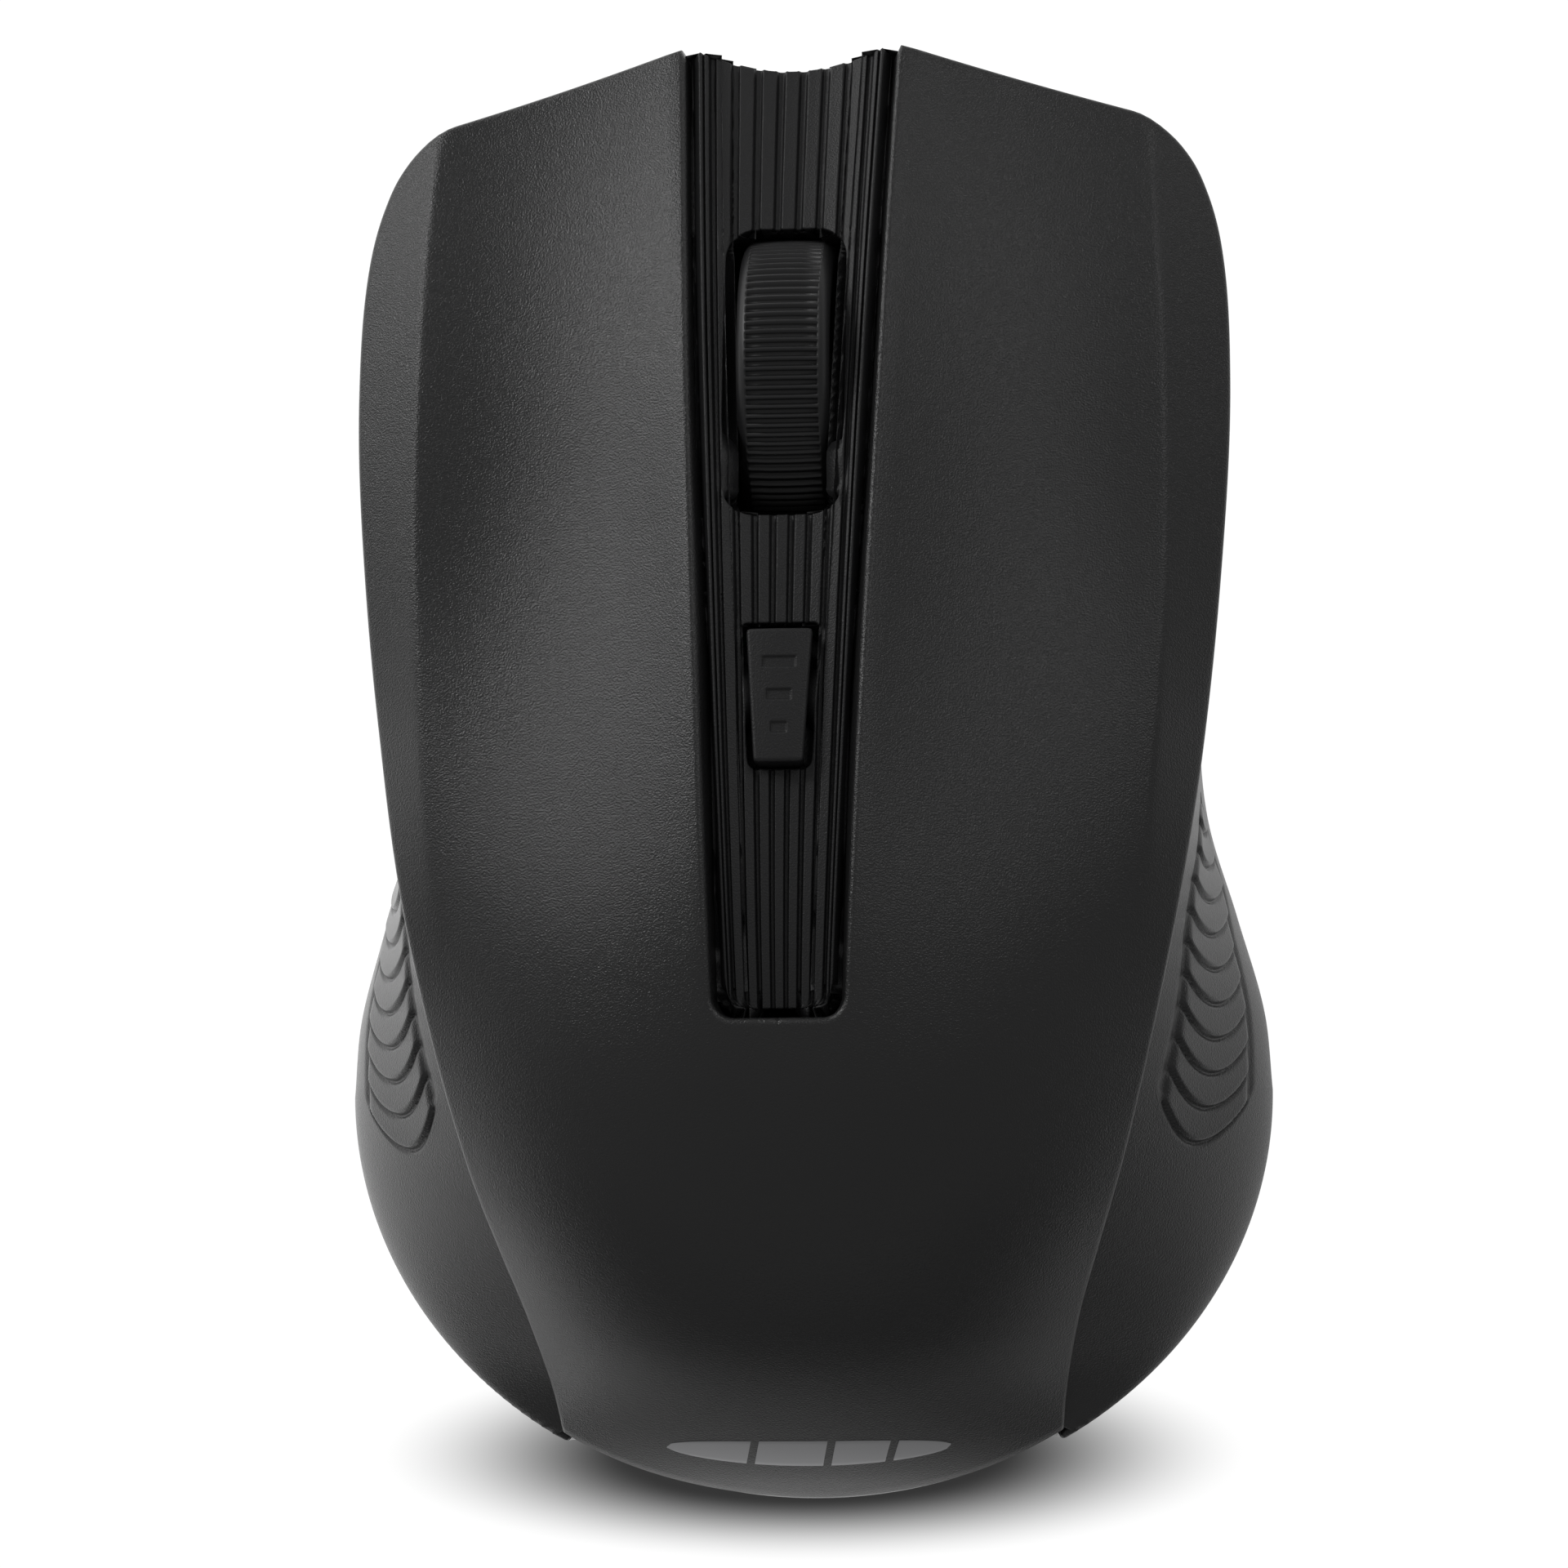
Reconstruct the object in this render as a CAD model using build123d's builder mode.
"""A wireless optical computer mouse, built as it comes apart on a bench. Millimetres, +Y to the front, +Z up.

The origin is on the desk under the middle of the mouse. One height function gives the whole top of the
mouse, and one side function gives its flanks, so the cover, the keys, the side panels and the base meet.
"""

from build123d import *
import math
import os

# Overall sizes
REAR_Y = -52.3          # rearmost point of the plan
KEY_TIP_Y = 52.3        # front corners of the two keys
BULGE_HALF = 33.5       # half the greatest width, across the side panels
BULGE_Y = -22.5         # where the greatest width lies
BULGE_Z = 9.0           # height of the greatest width
TUCK = 3.4              # how far the flank draws in between the bulge and the desk
SHELL = 2.0             # wall of the top cover
PANEL = 1.9             # wall of the side panels, across the mouse
FOOT = 0.6              # how far the glide feet stand below the base
FLOOR = 1.6             # thickness of the base's floor
RIM_Z = 5.0             # top edge of the base's rim
SEAM = 0.15             # gap where two casings meet
HINGE_Y = -11.0         # line in the cover about which the keys bend

# Smooth curves down the length of the mouse, as (y, value) stations from the rear to the front
CREST = [(-52.3, 5.0), (-50, 11.0), (-46, 18.6), (-40, 27.6), (-32, 34.2), (-24, 36.9), (-15, 37.5),
         (-4, 36.5), (19, 32.2), (36, 27.2), (52.5, 20.2)]
EDGE_DROP = [(-52.3, 3.0), (-47.5, 6.4), (-43, 10.2), (-38, 11.4), (-30, 11.3), (-20, 10.8), (60, 10.8)]
KEY_DROP = [(-20, 7.6), (0, 7.6), (14, 7.2), (32, 5.7), (52, 3.6)]
COVER_HALF = [(-52.3, 18.2), (-47.5, 18.4), (-38.5, 20.1), (-26.8, 23.6), (-14, 26.6), (-1, 29.0),
              (14, 30.6), (28, 31.15), (38, 30.45), (44, 28.5), (47, 25.4)]
FLANK_HALF = [(-22.5, 33.5), (-17, 33.0), (-10, 31.1), (-3, 29.1), (3, 28.6), (14, 29.6), (28, 30.25),
              (38, 29.5), (43, 27.9), (46, 25.0)]
CREASE_HALF = [(-20, 24.0), (-3, 25.2), (14, 26.0), (32, 25.8), (47, 25.1)]

# The long slot between the keys, the ribbed strip in it, and what stands in the strip
SLOT_FRONT_HALF, SLOT_REAR_HALF, SLOT_REAR_Y = 7.95, 4.5, -18.2
STRIP_FRONT_HALF, STRIP_REAR_HALF, STRIP_REAR_Y = 6.8, 3.7, -17.0
STRIP_BELOW = 1.0       # the strip's edges lie this far below the keys
STRIP_WALL = 1.5
RIBS = 7
WHEEL_Y, WHEEL_Z, WHEEL_R, HUB_R = 27.8, 19.8, 10.5, 8.4
WHEEL_SLOT, WHEEL_SLOT_Y = (8.7, 21.4), 28.1
DPI_Y, DPI_LENGTH, DPI_FRONT_HALF, DPI_REAR_HALF = 4.6, 9.4, 2.35, 1.75

# Inside
BOARD_Z, BOARD_THICK = 6.6, 1.6
BOARD_TOP = BOARD_Z + BOARD_THICK
CELL_R, CELL_LENGTH, CELL_Z = 5.2, 44.0, 8.2
KEY_SWITCH_X, KEY_SWITCH_Y = 15.5, 33.0
PLUNGER_Z = 15.6        # top of the key switches' plungers
CARRIER_PIVOT_Y, CARRIER_PIVOT_Z = 42.3, 15.5

os.makedirs("parts", exist_ok=True)


def save(piece, name):
    """Labels a finished piece and writes it as its own file."""
    piece.part.label = name
    export_step(piece.part, f"parts/{name}.step")


def along(stations, y):
    """The value at y on a smooth curve through (y, value) stations: cubic Hermite pieces whose slope at
    each station is the mean of the slopes beside it."""
    last = len(stations) - 1
    y = min(max(y, stations[0][0]), stations[last][0])
    k = next(i for i in range(last) if y <= stations[i + 1][0])
    rises = [(b[1] - a[1]) / (b[0] - a[0]) for a, b in zip(stations, stations[1:])]
    slope_in = rises[k] if k == 0 else (rises[k - 1] + rises[k]) / 2
    slope_out = rises[k] if k == last - 1 else (rises[k] + rises[k + 1]) / 2
    (y0, v0), (y1, v1) = stations[k], stations[k + 1]
    t, span = (y - y0) / (y1 - y0), y1 - y0
    return ((1 + 2 * t) * (1 - t) ** 2 * v0 + t * (1 - t) ** 2 * span * slope_in
            + t * t * (3 - 2 * t) * v1 + t * t * (t - 1) * span * slope_out)


def ease(low, high, value):
    """0 below low, 1 above high, and a smooth rise between."""
    t = min(max((value - low) / (high - low), 0), 1)
    return t * t * (3 - 2 * t)


def top_z(x, y):
    """Height of the top of the mouse: a crowned palm that turns into two scooped keys towards the front,
    folded down along a crease near each side."""
    x = abs(x)
    half = along(COVER_HALF, y)
    palm = along(EDGE_DROP, y) * (x / half) ** 2.4
    scoop = min(max((x - 5) / 19, 0), 1)
    key = along(KEY_DROP, y) * (1 - (1 - scoop) ** 2)
    front = ease(-19, 14, y)
    past = (x - along(CREASE_HALF, y)) / 0.5
    fold = 0.62 * ease(-14, 4, y) * 0.5 * (math.log1p(math.exp(past)) if past < 30 else past)
    return along(CREST, y) - front * key - (1 - front) * palm - fold


def strip_half(y):
    """Half the ribbed strip's width at y."""
    share = (y - STRIP_REAR_Y) / (KEY_TIP_Y - STRIP_REAR_Y)
    return STRIP_REAR_HALF + share * (STRIP_FRONT_HALF - STRIP_REAR_HALF)


def strip_z(x, y):
    """Height of the strip: a trough that is deepest at the front."""
    sag = 0.4 + 1.4 * ease(-15, 52, y)
    return along(CREST, y) - STRIP_BELOW - sag * (1 - (x / strip_half(y)) ** 2)


def flank_half(y):
    """Half the mouse's width at the bulge: an ellipse round the rear, then the waist and the front."""
    if y > BULGE_Y:
        return along(FLANK_HALF, y)
    return BULGE_HALF * math.sqrt(max(1 - ((y - BULGE_Y) / (REAR_Y - BULGE_Y)) ** 2, 0))


def flank_x(y, z):
    """Distance of the flank from the middle plane: widest at the bulge, tucked in below it, and leaning
    in above it to meet the underside of the cover's edge."""
    wide = flank_half(y)
    if z < BULGE_Z:
        return wide - TUCK * ((BULGE_Z - z) / BULGE_Z) ** 2
    half = along(COVER_HALF, y)
    edge_z = max(top_z(half, y) - 1.0, BULGE_Z + 3)
    rise = min((z - BULGE_Z) / (edge_z - BULGE_Z), 1.3)
    return wide + (half - 0.9 - wide) * rise ** 1.35


def spread(low, high, count):
    return [low + (high - low) * i / (count - 1) for i in range(count)]


def solid_below(height, depth=70):
    """The solid that lies under a height function of x and y."""
    rows = [[Vector(x, y, height(x, y)) for x in spread(-37, 37, 39)] for y in spread(-55, 56, 42)]
    skin = Face.make_surface_from_array_of_points(rows, tol=0.02)
    return Solid.extrude(skin, Vector(0, 0, -depth))


def mirrored(points):
    return [(-x, y) for x, y in reversed(points)]


def plan(inset, z):
    """Face of the mouse's plan at height z, drawn in from the bulge's plan by an inset."""
    side = []
    for y in (46, 41, 34, 26, 17, 8, 0, -7, -15):
        side.append((flank_half(y) - inset, y))
    for turn in (0, 14, 28, 42, 56, 70, 80, 90):
        a = math.radians(turn)
        side.append(((BULGE_HALF - inset) * math.cos(a), BULGE_Y - (BULGE_Y - REAR_Y - inset) * math.sin(a)))
    side[0] = (24.9 - inset, 46 - 0.8 * inset)
    nose = (8.2 - 0.2 * inset, 50.9 - inset)
    with BuildSketch(Plane.XY.offset(z), mode=Mode.PRIVATE) as drawn:
        with BuildLine():
            Spline(*side, *mirrored(side)[1:])
            Polyline(side[0], nose, (-nose[0], nose[1]), (-side[0][0], side[0][1]))
        make_face()
    return drawn.sketch.face()


def cover_plan(depth_z, height):
    """Prism over the plan of the top cover and the two keys."""
    side = [(half, y) for y, half in reversed(COVER_HALF) if y > -48]
    for turn in (64, 72, 81, 90):
        a = math.radians(turn)
        side.append((BULGE_HALF * math.cos(a), BULGE_Y - (BULGE_Y - REAR_Y) * math.sin(a)))
    with BuildPart(mode=Mode.PRIVATE) as prism:
        with BuildSketch(Plane.XY.offset(depth_z)):
            with BuildLine():
                Spline(*side, *mirrored(side)[1:])
                Polyline(side[0], (8.5, KEY_TIP_Y), (-8.5, KEY_TIP_Y), (-side[0][0], side[0][1]))
            make_face()
        extrude(amount=height)
    return prism.part


def wedge(front_half, rear_half, rear_y, front_y, low=0, high=60):
    """Upright prism with straight sides that widen from rear_y to front_y."""
    with BuildPart(mode=Mode.PRIVATE) as prism:
        with BuildSketch(Plane.XY.offset(low)):
            with BuildLine():
                Polyline((-rear_half, rear_y), (rear_half, rear_y), (front_half, front_y),
                         (-front_half, front_y), close=True)
            make_face()
        extrude(amount=high - low)
    return prism.part


def block(x0, x1, y0, y1, z0, z1):
    """Box between two corners."""
    return Pos((x0 + x1) / 2, (y0 + y1) / 2, (z0 + z1) / 2) * Box(x1 - x0, y1 - y0, z1 - z0, mode=Mode.PRIVATE)


def post(x, y, z0, z1, radius):
    """Upright round post."""
    return Pos(x, y, (z0 + z1) / 2) * Cylinder(radius, z1 - z0, mode=Mode.PRIVATE)


def lying(x0, x1, y, z, radius):
    """Round bar that lies across the mouse."""
    return Pos((x0 + x1) / 2, y, z) * Rot(0, 90, 0) * Cylinder(radius, x1 - x0, mode=Mode.PRIVATE)


def coil(wire, radius, height, pitch):
    """Helical spring standing on the origin."""
    with BuildPart(mode=Mode.PRIVATE) as spring:
        with BuildLine():
            path = Helix(pitch=pitch, height=height - wire, radius=radius)
        with BuildSketch(Plane(origin=path @ 0, z_dir=path % 0)):
            Circle(wire / 2)
        sweep(is_frenet=True)
    return Pos(0, 0, wire / 2) * spring.part


def under_cover(x, y):
    return top_z(x * 1.055, y * 1.035) - SHELL


def panel_limit(x, y):
    return under_cover(x, y) - 0.3 - 0.9 * ease(-14, 20, y)


TOP = solid_below(top_z)
UNDER = solid_below(under_cover)
STRIP_TOP = solid_below(strip_z)
RIB_TOP = solid_below(lambda x, y: strip_z(x, y) + 0.4)
STRIP_UNDER = solid_below(lambda x, y: strip_z(x, y) - STRIP_WALL)
PANEL_LIMIT = solid_below(panel_limit)
SLOT = wedge(SLOT_FRONT_HALF + 0.05, SLOT_REAR_HALF, SLOT_REAR_Y, 53)
SCREWS = [(-18.5, -25), (18.5, -25), (0, 44.8)]
BOARD_POSTS = [(-21.5, 9.5), (21.5, 9.5), (-20, 37.6), (20, 37.6)]
FEET = [(-18, 39.2), (18, 39.2), (-20.5, -35.5), (20.5, -35.5)]


# Base: the tub under the mouse, with its bay for two cells and a pocket for the receiver
with BuildPart() as base_shell:
    loft(sections=[plan(3.0, FOOT), plan(0.7, RIM_Z)])
    loft(sections=[plan(3.8, FOOT + FLOOR), plan(2.5, RIM_Z + 0.1)], mode=Mode.SUBTRACT)
    for x, y in SCREWS:
        add(post(x, y, FOOT + FLOOR - 0.1, 4.2, 4))
    for x, y in BOARD_POSTS:
        add(post(x, y, FOOT + FLOOR - 0.1, BOARD_Z, 3))
    add(block(-12.6, 12.6, -45.6, 5.4, 1.75, 12))
    add(block(15.6, 24.4, -16.6, 0.6, 1.2, 21))
    add(block(-11.2, 11.2, -44.4, 4.2, 0, 13), mode=Mode.SUBTRACT)
    add(block(-12.15, 12.15, -60, 4.2, 0, 1.75), mode=Mode.SUBTRACT)
    add(block(-13.35, 13.35, -60, 4.2, 1.05, 1.75), mode=Mode.SUBTRACT)
    add(block(16.65, 23.35, -15.6, -0.4, 0, 20), mode=Mode.SUBTRACT)
    add(block(-4, 4, 4.9 + 1.2, 16, 0, 3), mode=Mode.SUBTRACT)
    add(block(-21.7, -18.3, -11.4, -4.6, 0, 3), mode=Mode.SUBTRACT)
    add(block(-11, 11, 22, 36, 0, FOOT + 0.2), mode=Mode.SUBTRACT)
    for x, y in SCREWS:
        add(post(x, y, 0, 2.4, 2.4), mode=Mode.SUBTRACT)
        add(post(x, y, 0, 5, 1.3), mode=Mode.SUBTRACT)
    for x, y in BOARD_POSTS[:2]:
        add(post(x, y, 3, 7, 1.05), mode=Mode.SUBTRACT)
    for x, y in FEET:
        deep = 7.15 if y < 0 else 4.65
        add(block(x - 4.15, x + 4.15, y - deep, y + deep, 0, 0.9), mode=Mode.SUBTRACT)
save(base_shell, "base_shell")

# Glide feet: low-friction pads let into the base
for name, (x, y) in zip(("front_left_foot", "front_right_foot", "rear_left_foot", "rear_right_foot"), FEET):
    with BuildPart() as foot:
        with Locations((x, y, 0.45)):
            Box(8, 14 if y < 0 else 9, 0.9)
        fillet(foot.edges().filter_by(Axis.Z), 2.4)
    save(foot, name)

# Rating label, let into the base, left blank
with BuildPart() as rating_label:
    add(block(-10.9, 10.9, 22.1, 35.9, FOOT + 0.05, FOOT + 0.2))
save(rating_label, "rating_label")


def side_panel(sign):
    """One side panel: the skin of the flank."""
    rows = [[Vector(flank_x(y, z), y, z) for y in spread(-47.4, 46.5, 40)] for z in spread(1, 32, 14)]
    skin = Face.make_surface_from_array_of_points(rows, tol=0.02)
    with BuildPart() as panel:
        add(Solid.extrude(skin, Vector(-PANEL, 0, 0)))
        add(block(0, 40, -45.8, 45.6, RIM_Z, 40), mode=Mode.INTERSECT)
        add(PANEL_LIMIT, mode=Mode.INTERSECT)
    with BuildPart() as whole:
        add(panel.solids().sort_by(SortBy.VOLUME)[-1])
        if sign < 0:
            mirror(about=Plane.YZ, mode=Mode.REPLACE)
    return whole


save(side_panel(-1), "left_side_panel")
save(side_panel(1), "right_side_panel")

# Palm cover: the rear half of the top, with two screw bosses and a ledge under the strip's tail
with BuildPart() as palm_shell:
    add(TOP)
    add(cover_plan(RIM_Z, 40), mode=Mode.INTERSECT)
    add(UNDER, mode=Mode.SUBTRACT)
    add(block(-40, 40, HINGE_Y, 60, 0, 60), mode=Mode.SUBTRACT)
    add(SLOT, mode=Mode.SUBTRACT)
    with BuildPart():
        for x, y in SCREWS[:2]:
            add(post(x, y, 4.2, 40, 2.8))
        add(block(-3, 3, -26, -13.2, 32.0, 33.4))
        add(block(-3, 3, -26, -20, 32.0, 40))
        add(solid_below(lambda x, y: top_z(x, y) - 1), mode=Mode.INTERSECT)
    for x, y in SCREWS[:2]:
        add(post(x, y, 4, 10.5, 1.15), mode=Mode.SUBTRACT)
save(palm_shell, "palm_shell")


def key(sign):
    """One main key: the front of the top on one side, with the post that works its switch."""
    x0, x1 = (0, 40) if sign > 0 else (-40, 0)
    with BuildPart() as made:
        add(TOP)
        add(cover_plan(10, 40), mode=Mode.INTERSECT)
        add(UNDER, mode=Mode.SUBTRACT)
        add(block(x0, x1, HINGE_Y + SEAM, 60, 0, 60), mode=Mode.INTERSECT)
        add(SLOT, mode=Mode.SUBTRACT)
        with BuildPart():
            add(post(sign * KEY_SWITCH_X, KEY_SWITCH_Y, PLUNGER_Z + 0.05, 30, 1.8))
            add(TOP, mode=Mode.INTERSECT)
    return made


save(key(-1), "left_key")
save(key(1), "right_key")

# Ribbed strip between the keys, with the openings for the wheel and the resolution button
with BuildPart() as center_strip:
    with BuildPart():
        add(wedge(STRIP_FRONT_HALF, STRIP_REAR_HALF, STRIP_REAR_Y, KEY_TIP_Y))
        add(STRIP_TOP, mode=Mode.INTERSECT)
    with BuildPart():
        for k in range(RIBS):
            front, rear = (k - RIBS // 2) * 1.65, (k - RIBS // 2) * 0.96
            with BuildSketch():
                with BuildLine():
                    Polyline((rear - 0.28, STRIP_REAR_Y), (rear + 0.28, STRIP_REAR_Y),
                             (front + 0.5, KEY_TIP_Y), (front - 0.5, KEY_TIP_Y), close=True)
                make_face()
            extrude(amount=60)
        add(RIB_TOP, mode=Mode.INTERSECT)
    add(STRIP_UNDER, mode=Mode.SUBTRACT)
    with BuildPart(mode=Mode.SUBTRACT):
        with Locations((0, 58.2, 30)):
            Cylinder(7.3, 60)
    add(block(-3, 3, -16.9, -13.3, 33.4, 35.2))
    add(block(-3, 3, 48.9, 50.3, 14.5, 17.6))
    add(block(-WHEEL_SLOT[0] / 2, WHEEL_SLOT[0] / 2, WHEEL_SLOT_Y - WHEEL_SLOT[1] / 2,
              WHEEL_SLOT_Y + WHEEL_SLOT[1] / 2, 10, 50), mode=Mode.SUBTRACT)
    add(wedge(DPI_FRONT_HALF + 0.7, DPI_REAR_HALF + 0.6, DPI_Y - DPI_LENGTH / 2 - 0.45,
              DPI_Y + DPI_LENGTH / 2 + 0.45), mode=Mode.SUBTRACT)
save(center_strip, "center_strip")

# Inner frame: the front cross wall, the clevis for the wheel's carrier, and two rails under the keys
with BuildPart() as inner_frame:
    with BuildSketch(Plane.XY.offset(RIM_Z)):
        with BuildLine():
            Polyline((-22, 46.0), (-8, 50.4), (8, 50.4), (22, 46.0), (22, 44.4), (8, 48.8), (-8, 48.8),
                     (-22, 44.4), close=True)
        make_face()
    extrude(amount=9.5)
    add(block(-4, 4, 44, 49, 10, 12))
    add(post(0, 44.8, 4.2, 12, 3))
    add(post(0, 44.8, 4, 10.5, 1.15), mode=Mode.SUBTRACT)
    for sign in (-1, 1):
        add(block(*sorted((sign * 7.4, sign * 12.2)), 44.4, 48, 9, 14.5))
        add(block(*sorted((sign * 7.4, sign * 9.0)), 40.4, 45, 9, 17.8))
        add(block(*sorted((sign * 10.2, sign * 12.2)), 39, 45, 9, 16.5))
        add(block(*sorted((sign * 10.2, sign * 12.2)), -2, 41, 16.4, 18.4))
        add(block(*sorted((sign * 11.2, sign * 12.2)), -2, 1, 12, 17))
        add(block(*sorted((sign * 5.6, sign * 7.0)), -1.6, 0.2, 17, 22.0))
        add(block(*sorted((sign * 5.6, sign * 7.0)), 8.6, 10.4, 17, 22.0))
    add(block(-12, 12, -1.6, 0.2, 16.4, 18.4))
    add(block(-12, 12, 8.6, 10.4, 16.4, 18.4))
    add(lying(-10, 10, CARRIER_PIVOT_Y, CARRIER_PIVOT_Z, 1.28), mode=Mode.SUBTRACT)
save(inner_frame, "inner_frame")

# Main board, and what is soldered to it
with BuildPart() as main_board:
    add(block(-24.3, 24.3, 5.8, 40.6, BOARD_Z, BOARD_TOP))
    fillet(main_board.edges().filter_by(Axis.Z), 1.5)
    add(block(-4.2, 4.2, 20.2, 36, 6, 9), mode=Mode.SUBTRACT)
    add(block(-2.5, 2.5, 8, 13, 6, 9), mode=Mode.SUBTRACT)
    for x, y in BOARD_POSTS[:2]:
        add(post(x, y, 6, 9, 1.2), mode=Mode.SUBTRACT)
save(main_board, "main_board")

with BuildPart() as sensor_chip:
    add(block(-6.4, 6.4, 6.0, 14.9, BOARD_TOP, BOARD_TOP + 2.6))
save(sensor_chip, "sensor_chip")

with BuildPart() as sensor_lens:
    add(block(-6.6, 6.6, 6.2, 19.4, 2.2, 3.4))
    add(block(-3.8, 3.8, 6.4, 15.6, 1.3, 2.3))
    add(post(0, 10.5, 3.3, 5.6, 2.2))
    with Locations((0, 10.5, 5.2)):
        Sphere(1.6)
save(sensor_lens, "sensor_lens")

with BuildPart() as led:
    with Locations(Pos(0, 18.4, 10.4) * Rot(90, 0, 0)):
        Cylinder(1.5, 3.0)
    with Locations((0, 16.9, 10.4)):
        Sphere(1.5)
    add(block(-1.4, 1.4, 19.4, 19.9, BOARD_TOP, 10.4))
save(led, "led")

with BuildPart() as led_clip:
    add(block(-3.0, 3.0, 17.4, 19.0, BOARD_TOP, 12.9))
    with Locations(Pos(0, 18.2, 10.4) * Rot(90, 0, 0)):
        Cylinder(1.53, 4, mode=Mode.SUBTRACT)
save(led_clip, "led_clip")


def key_switch(sign):
    """Body of the switch under one key, with the well its plunger works in."""
    with BuildPart() as body:
        add(block(sign * KEY_SWITCH_X - 2.9, sign * KEY_SWITCH_X + 2.9, 27.8, 40.4, BOARD_TOP, 14.7))
        fillet(body.edges().filter_by(Axis.Z), 0.4)
        with Locations((sign * KEY_SWITCH_X, KEY_SWITCH_Y, 14)):
            Box(1.7, 3.3, 4.4, mode=Mode.SUBTRACT)
    return body


def key_plunger(sign):
    """Plunger of the switch under one key."""
    with BuildPart() as plunger:
        add(block(sign * KEY_SWITCH_X - 0.7, sign * KEY_SWITCH_X + 0.7, KEY_SWITCH_Y - 1.5,
                  KEY_SWITCH_Y + 1.5, 12.6, PLUNGER_Z))
    return plunger


save(key_switch(-1), "left_switch")
save(key_switch(1), "right_switch")
save(key_plunger(-1), "left_plunger")
save(key_plunger(1), "right_plunger")

# Switch that the wheel's carrier presses, and its plunger
with BuildPart() as wheel_switch:
    add(block(6.9, 12.1, 17.2, 22.8, BOARD_TOP, 12.6))
    add(post(9.5, 20, 11, 14, 1.6), mode=Mode.SUBTRACT)
save(wheel_switch, "wheel_switch")

with BuildPart() as wheel_plunger:
    add(post(9.5, 20, 11.75, 13.6, 1.5))
save(wheel_plunger, "wheel_plunger")

# Resolution button's own small board, switch, plunger and key
with BuildPart() as dpi_board:
    add(block(-7.2, 7.2, -1.8, 10.6, 22.0, 23.2))
save(dpi_board, "dpi_board")

with BuildPart() as dpi_switch:
    add(block(-3, 3, DPI_Y - 3, DPI_Y + 3, 23.2, 26.7))
    add(post(0, DPI_Y, 25.2, 28, 1.7), mode=Mode.SUBTRACT)
save(dpi_switch, "dpi_switch")

with BuildPart() as dpi_plunger:
    add(post(0, DPI_Y, 25.9, 27.6, 1.6))
save(dpi_plunger, "dpi_plunger")

with BuildPart() as dpi_button:
    add(wedge(DPI_FRONT_HALF, DPI_REAR_HALF, DPI_Y - DPI_LENGTH / 2, DPI_Y + DPI_LENGTH / 2, 30.2, 40))
    add(solid_below(lambda x, y: strip_z(0, y) + 1.35 - 0.02 * x * x), mode=Mode.INTERSECT)
    add(block(-3.6, 3.6, DPI_Y - 5.4, DPI_Y + 5.4, 29.2, 30.2))
    add(post(0, DPI_Y, 27.65, 29.3, 1.3))
    for k in range(3):
        with Locations((0, DPI_Y - 1.4 + 1.4 * k, 36)):
            Box(1.2 + 0.5 * k, 0.5, 3.6, mode=Mode.SUBTRACT)
save(dpi_button, "dpi_button")

# Wheel: hub with its axle, and the ribbed tyre on it
with BuildPart() as wheel_hub:
    with BuildSketch(Plane.YZ.offset(-3)):
        with Locations((WHEEL_Y, WHEEL_Z)):
            Circle(HUB_R)
            Circle(HUB_R - 1.2, mode=Mode.SUBTRACT)
    extrude(amount=6)
    with BuildSketch(Plane.YZ.offset(-0.7)):
        with Locations((WHEEL_Y, WHEEL_Z)):
            Circle(HUB_R - 1)
            with PolarLocations(5.0, 12):
                Circle(0.9, mode=Mode.SUBTRACT)
    extrude(amount=1.4)
    add(lying(-4.9, 4.9, WHEEL_Y, WHEEL_Z, 2.4))
    add(lying(-6.5, 6.5, WHEEL_Y, WHEEL_Z, 1.3))
save(wheel_hub, "wheel_hub")

with BuildPart() as wheel_tyre:
    teeth = []
    for k in range(72):
        a = 2 * math.pi * k / 72
        for turn, r in ((0.0, WHEEL_R), (0.045, WHEEL_R), (0.055, WHEEL_R - 0.3), (0.078, WHEEL_R - 0.3)):
            teeth.append((WHEEL_Y + r * math.cos(a + turn), WHEEL_Z + r * math.sin(a + turn)))
    with BuildSketch(Plane.YZ.offset(-2.6)):
        with BuildLine():
            Polyline(*teeth, close=True)
        make_face()
    extrude(amount=5.2)
    for sign in (-1, 1):
        add(lying(*sorted((sign * 2.6, sign * 3.0)), WHEEL_Y, WHEEL_Z, WHEEL_R - 0.2))
        add(lying(*sorted((sign * 3.0, sign * 3.25)), WHEEL_Y, WHEEL_Z, WHEEL_R - 0.45))
    add(lying(-5, 5, WHEEL_Y, WHEEL_Z, HUB_R), mode=Mode.SUBTRACT)
save(wheel_tyre, "wheel_tyre")

# Carrier that holds the wheel: two arms, two cross bars, pivot pins, and a lug at each side
with BuildPart() as wheel_carrier:
    for x0, x1 in ((-6.4, -5.2), (5.2, 6.4)):
        with BuildSketch(Plane.YZ.offset(x0)):
            with BuildLine():
                Polyline((12.8, 15.5), (12.8, 18.0), (23, 22.0), (32, 22.0), (43.6, 17.0), (43.6, 13.9),
                         (40.8, 13.9), (32, 15.4), close=True)
            make_face()
        extrude(amount=x1 - x0)
    add(block(-5.4, 5.4, 12.8, 14.6, 15.5, 18.0))
    add(block(-5.4, 5.4, 41.4, 43.6, 13.9, 16.6))
    add(lying(-9, 9, CARRIER_PIVOT_Y, CARRIER_PIVOT_Z, 1.2))
    add(block(6.2, 11.0, 18.4, 21.6, 13.65, 16.0))
    add(block(-11.0, -6.2, 18.4, 21.6, 14.2, 16.0))
    add(lying(-7, 7, WHEEL_Y, WHEEL_Z, 1.36), mode=Mode.SUBTRACT)
save(wheel_carrier, "wheel_carrier")

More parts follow.
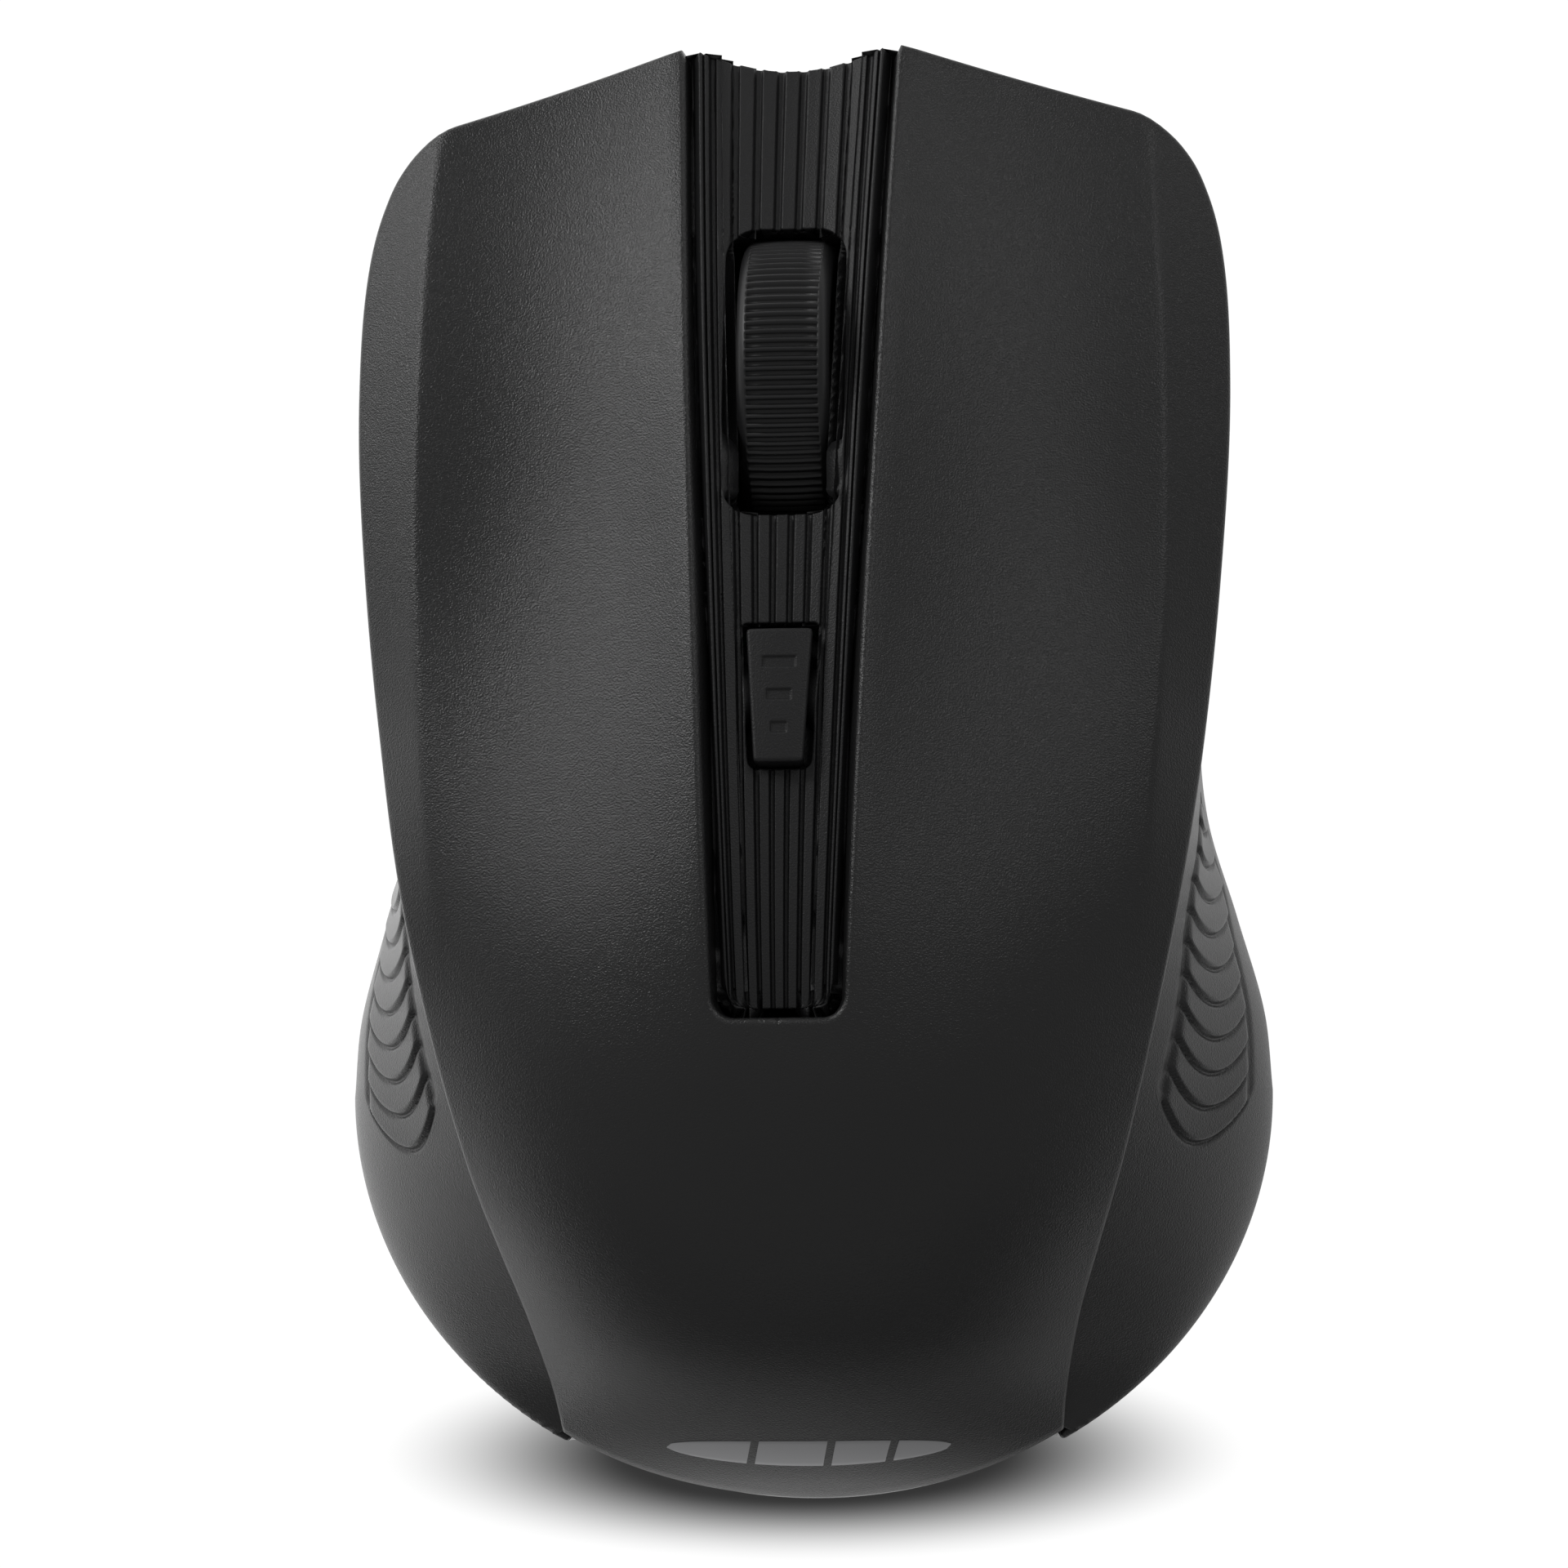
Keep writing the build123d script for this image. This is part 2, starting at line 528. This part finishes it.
# Spring that lifts the carrier, and the leaf that clicks on the wheel's rim
with BuildPart() as carrier_spring:
    add(Pos(-9, 20, BOARD_TOP) * coil(0.4, 1.7, 6.0, 1.3))
save(carrier_spring, "carrier_spring")

with BuildPart() as detent_leaf:
    add(block(-4.9, -4.1, 14.6, 15.0, 15.8, 17.7))
    add(block(-4.9, -4.1, 15.0, 15.6, 17.0, 17.7))
save(detent_leaf, "detent_leaf")

# Light gate that counts the wheel's holes
with BuildPart() as gate_emitter:
    add(block(-10.6, -7.5, 26.2, 30.0, BOARD_TOP, 16.2))
    with Locations((-7.5, WHEEL_Y, 14.6)):
        Sphere(0.9)
save(gate_emitter, "gate_emitter")

with BuildPart() as gate_detector:
    add(block(7.5, 9.8, 26.2, 30.0, BOARD_TOP, 16.2))
    with Locations((7.5, WHEEL_Y, 14.6)):
        Sphere(0.9)
save(gate_detector, "gate_detector")

# Loose parts of the circuit
with BuildPart() as controller_chip:
    add(block(-17.5, -9.5, 8.2, 18.0, BOARD_TOP, BOARD_TOP + 1.5))
    for k in range(7):
        for x0, x1 in ((-18.6, -17.5), (-9.5, -8.4)):
            add(block(x0, x1, 8.9 + 1.27 * k, 9.4 + 1.27 * k, BOARD_TOP, BOARD_TOP + 0.7))
save(controller_chip, "controller_chip")

with BuildPart() as crystal:
    with BuildSketch(Plane.XY.offset(BOARD_TOP)):
        with Locations((14.5, 11.5)):
            SlotOverall(10.5, 4.2)
    extrude(amount=3.4)
save(crystal, "crystal")

for name, x, y, radius, height in (("capacitor_a", 18.5, 20.5, 2.5, 7), ("capacitor_b", -21.6, 24, 2, 6)):
    with BuildPart() as capacitor:
        add(post(x, y, BOARD_TOP, BOARD_TOP + height, radius))
        fillet(capacitor.edges().filter_by(GeomType.CIRCLE).group_by(Axis.Z)[-1], 0.4)
    save(capacitor, name)

# Two cells, and the contacts at the ends of their bay
for name, x, turn in (("left_cell", -5.5, -90), ("right_cell", 5.5, 90)):
    with BuildPart() as cell:
        with Locations((0, 0, -0.4)):
            Cylinder(CELL_R, CELL_LENGTH - 0.8)
        fillet(cell.edges().filter_by(GeomType.CIRCLE), 0.4)
        with Locations((0, 0, CELL_LENGTH / 2 - 0.45)):
            Cylinder(1.9, 0.9)
    with BuildPart() as placed:
        add(Pos(x, 3.8 - CELL_LENGTH / 2 if turn < 0 else CELL_LENGTH / 2 - 44.0, CELL_Z)
            * Rot(turn, 0, 0) * cell.part)
    save(placed, name)

with BuildPart() as front_contact:
    add(block(-10.6, 10.6, 3.8, 4.2, 3, 11))
    add(Pos(5.5, 4.0, CELL_Z) * Rot(90, 0, 0) * coil(0.5, 2.6, 3.95, 1.2))
save(front_contact, "front_contact")

with BuildPart() as rear_left_contact:
    add(block(-10.6, -1, -44.4, -44.0, 3, 11))
    add(Pos(-5.5, -44.2, CELL_Z) * Rot(-90, 0, 0) * coil(0.5, 2.6, 3.95, 1.2))
save(rear_left_contact, "rear_left_contact")

with BuildPart() as rear_right_contact:
    add(block(1, 10.6, -44.4, -44.0, 3, 11))
save(rear_right_contact, "rear_right_contact")

# Door of the cells' bay, which slides out to the rear
with BuildPart() as battery_door:
    add(block(-12.0, 12.0, -51, 4.05, FOOT, 1.6))
    add(block(-13.2, 13.2, -51, 4.05, 1.1, 1.6))
    loft(sections=[plan(3.0, FOOT), plan(0.7, RIM_Z)], mode=Mode.INTERSECT)
    for k in range(5):
        with Locations((0, -42 + 1.6 * k, FOOT)):
            Box(14, 0.7, 0.6, mode=Mode.SUBTRACT)
save(battery_door, "battery_door")

# Power switch: body on the base, and the slider that shows through the base
with BuildPart() as power_switch:
    add(block(-23.2, -16.8, -13.0, -3.0, FOOT + FLOOR, 6.2))
    add(block(-21.3, -18.7, -11.6, -4.4, 2, 4), mode=Mode.SUBTRACT)
save(power_switch, "power_switch")

with BuildPart() as power_slider:
    add(block(-21.5, -18.5, -9.0, -4.8, 0.8, 1.9))
    add(block(-21.1, -18.9, -8.2, -5.6, 1.8, 3.7))
    for k in range(3):
        with Locations((-20, -8.0 + 1.1 * k, 0.8)):
            Box(4, 0.45, 0.5, mode=Mode.SUBTRACT)
save(power_slider, "power_slider")

# Receiver, stowed plug first in its pocket
with BuildPart() as receiver_cap:
    add(block(16.8, 23.2, -15.4, -0.6, FOOT + 0.1, 7.1))
    fillet(receiver_cap.edges().filter_by(Axis.Z), 1.2)
    add(block(19.0, 21.0, -13.6, -2.4, 6.1, 8), mode=Mode.SUBTRACT)
save(receiver_cap, "receiver_cap")

with BuildPart() as receiver_plug:
    add(block(17.75, 22.25, -14.0, -2.0, 7.1, 18.9))
    add(block(18.05, 21.95, -13.7, -2.3, 7.0, 19), mode=Mode.SUBTRACT)
    for y in (-10.8, -5.2):
        add(block(17, 18.0, y - 1.1, y + 1.1, 13.2, 15.2), mode=Mode.SUBTRACT)
save(receiver_plug, "receiver_plug")

with BuildPart() as receiver_insert:
    add(block(19.0, 20.9, -13.6, -2.4, 6.1, 18.4))
    for k in range(4):
        add(block(20.9, 21.05, -12.4 + 2.6 * k, -11.2 + 2.6 * k, 9, 17.6))
save(receiver_insert, "receiver_insert")

# Screws: two hold the palm cover, one the inner frame, two the main board
for name, (x, y) in zip(("left_case_screw", "right_case_screw", "front_case_screw"), SCREWS):
    with BuildPart() as screw:
        add(post(x, y, 1.1, 2.4, 2.1))
        add(post(x, y, 2.3, 10, 1.1))
        add(block(x - 1.3, x + 1.3, y - 0.2, y + 0.2, 1.0, 1.7), mode=Mode.SUBTRACT)
        add(block(x - 0.2, x + 0.2, y - 1.3, y + 1.3, 1.0, 1.7), mode=Mode.SUBTRACT)
    save(screw, name)
for name, (x, y) in zip(("left_board_screw", "right_board_screw"), BOARD_POSTS[:2]):
    with BuildPart() as screw:
        add(post(x, y, BOARD_TOP, BOARD_TOP + 1.4, 2.1))
        add(post(x, y, 3.4, BOARD_TOP + 0.1, 1.0))
        add(block(x - 1.3, x + 1.3, y - 0.2, y + 0.2, BOARD_TOP + 0.7, 11), mode=Mode.SUBTRACT)
        add(block(x - 0.2, x + 0.2, y - 1.3, y + 1.3, BOARD_TOP + 0.7, 11), mode=Mode.SUBTRACT)
    save(screw, name)
